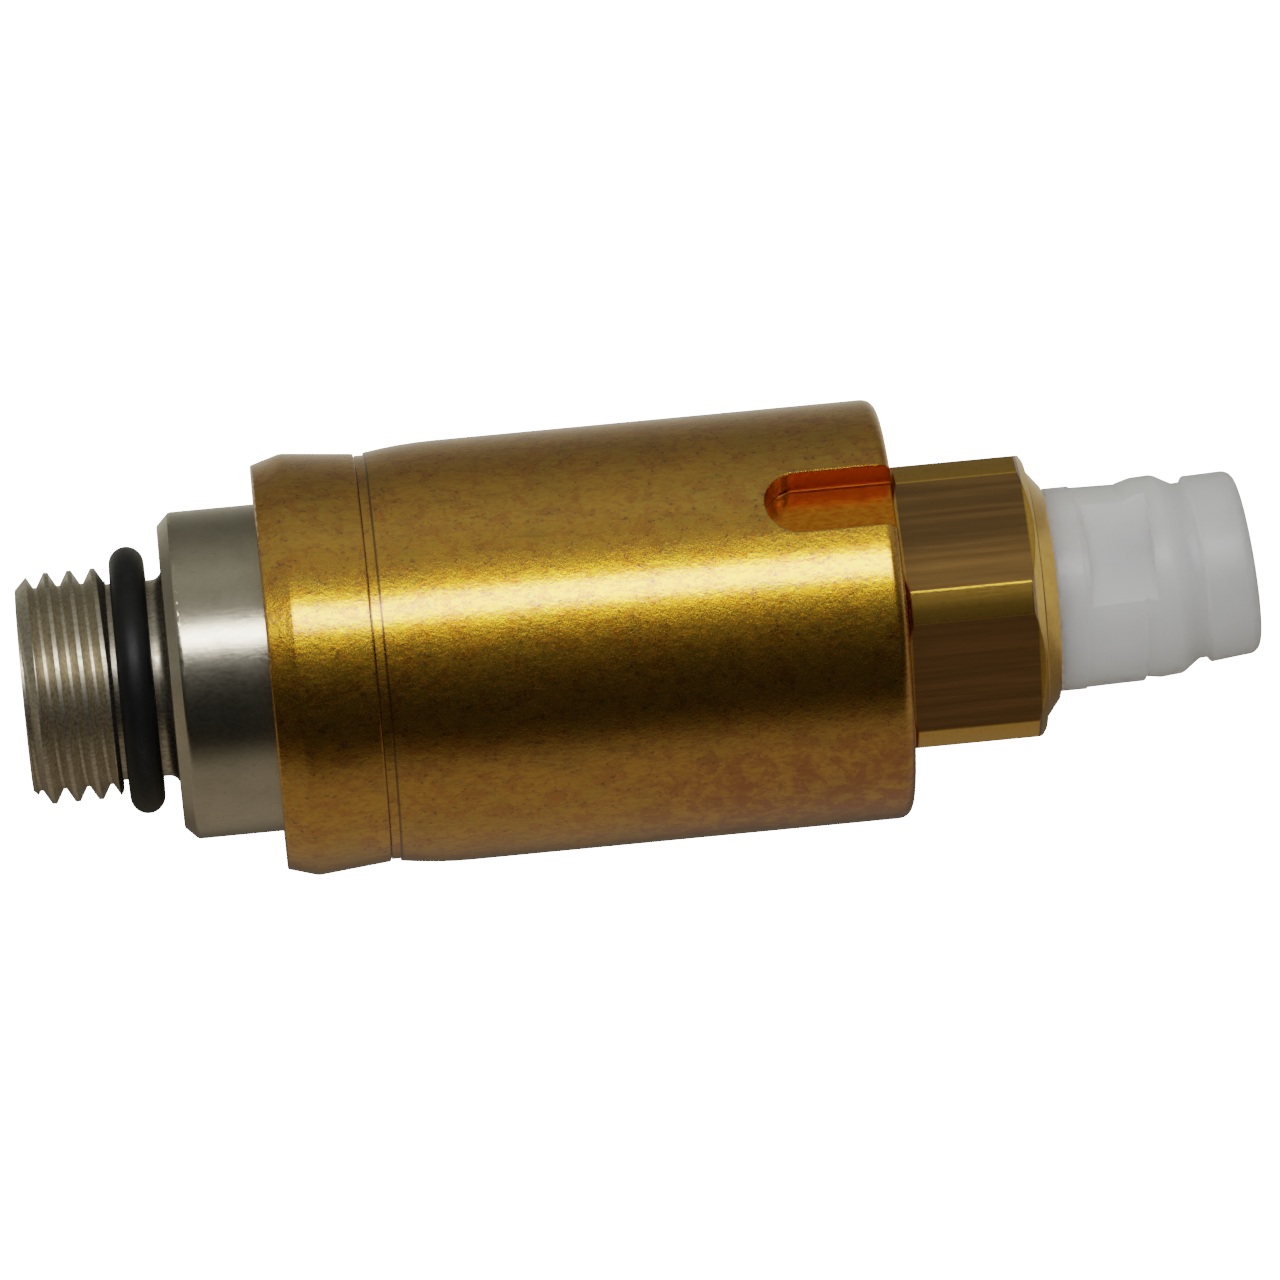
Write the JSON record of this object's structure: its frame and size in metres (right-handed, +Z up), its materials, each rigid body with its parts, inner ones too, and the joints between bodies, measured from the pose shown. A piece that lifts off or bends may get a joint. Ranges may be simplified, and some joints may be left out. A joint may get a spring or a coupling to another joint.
{
  "type": "residual pressure valve",
  "caption": "Inline valve that keeps a residual pressure in an air spring: threaded stud with seal ring, brass body, hexagon tube union and transport plug.",
  "frame": {"origin": "centre of the collar face that seats on the port, on the valve axis", "axes": "+X along the valve axis from the threaded stud to the tube union; +Z up, with a spanner slot 34.8 degrees above -Y"},
  "size_m": [0.0528, 0.018, 0.018],
  "materials": {
    "nickel_plate": "satin nickel plate on brass",
    "body_brass": "turned brass with a mottled tarnish",
    "ring_brass": "turned brass, lightly tarnished",
    "hex_brass": "drawn brass, streaked along the bar",
    "clamp_brass": "bright turned brass",
    "poppet_brass": "fine turned brass",
    "seal_black": "satin nitrile rubber",
    "seal_inner": "matt nitrile rubber",
    "plug_plastic": "milky translucent moulded plastic, satin",
    "spring_steel": "drawn stainless spring wire",
    "ball_steel": "polished steel ball",
    "shim_steel": "plain steel washer"
  },
  "bodies": {
    "valve_body": {"threaded_stud": "nickel_plate", "stud_o_ring": "seal_black", "retaining_ring": "ring_brass", "valve_housing": "body_brass", "housing_o_ring": "seal_inner", "shim_washer": "shim_steel", "pressure_spring": "spring_steel"},
    "poppet": {"valve_poppet": "poppet_brass", "poppet_seal": "seal_inner", "check_retainer": "poppet_brass", "check_spring": "spring_steel"},
    "ball": {"check_ball": "ball_steel"},
    "clamp": {"clamping_ring": "clamp_brass"},
    "union": {"union_screw": "hex_brass"},
    "plug": {"transport_plug": "plug_plastic"}
  },
  "joints": [
    {"name": "union_travel", "type": "slide", "parent": "valve_body", "child": "clamp", "axis": [1, 0, 0], "range_m": [0, 0.005]},
    {"name": "union_turn", "type": "hinge", "parent": "clamp", "child": "union", "pos_m": [0.034, 0, 0], "axis": [1, 0, 0], "range_deg": [0, 1800]},
    {"name": "plug_pull", "type": "slide", "parent": "clamp", "child": "plug", "axis": [1, 0, 0], "range_m": [0, 0.016]},
    {"name": "poppet_lift", "type": "slide", "parent": "valve_body", "child": "poppet", "axis": [1, 0, 0], "range_m": [0, 0.0012], "stiffness_N_per_m": 3500, "springref_m": -0.00197, "deforming": ["pressure_spring"]},
    {"name": "check_ball_lift", "type": "slide", "parent": "poppet", "child": "ball", "axis": [-1, 0, 0], "range_m": [0, 0.0005], "stiffness_N_per_m": 50, "springref_m": -0.0006, "deforming": ["check_spring"]}
  ],
  "couplings": [
    {"joint": "union_turn", "follows": "union_travel", "rad_per_m": 6283.2}
  ]
}
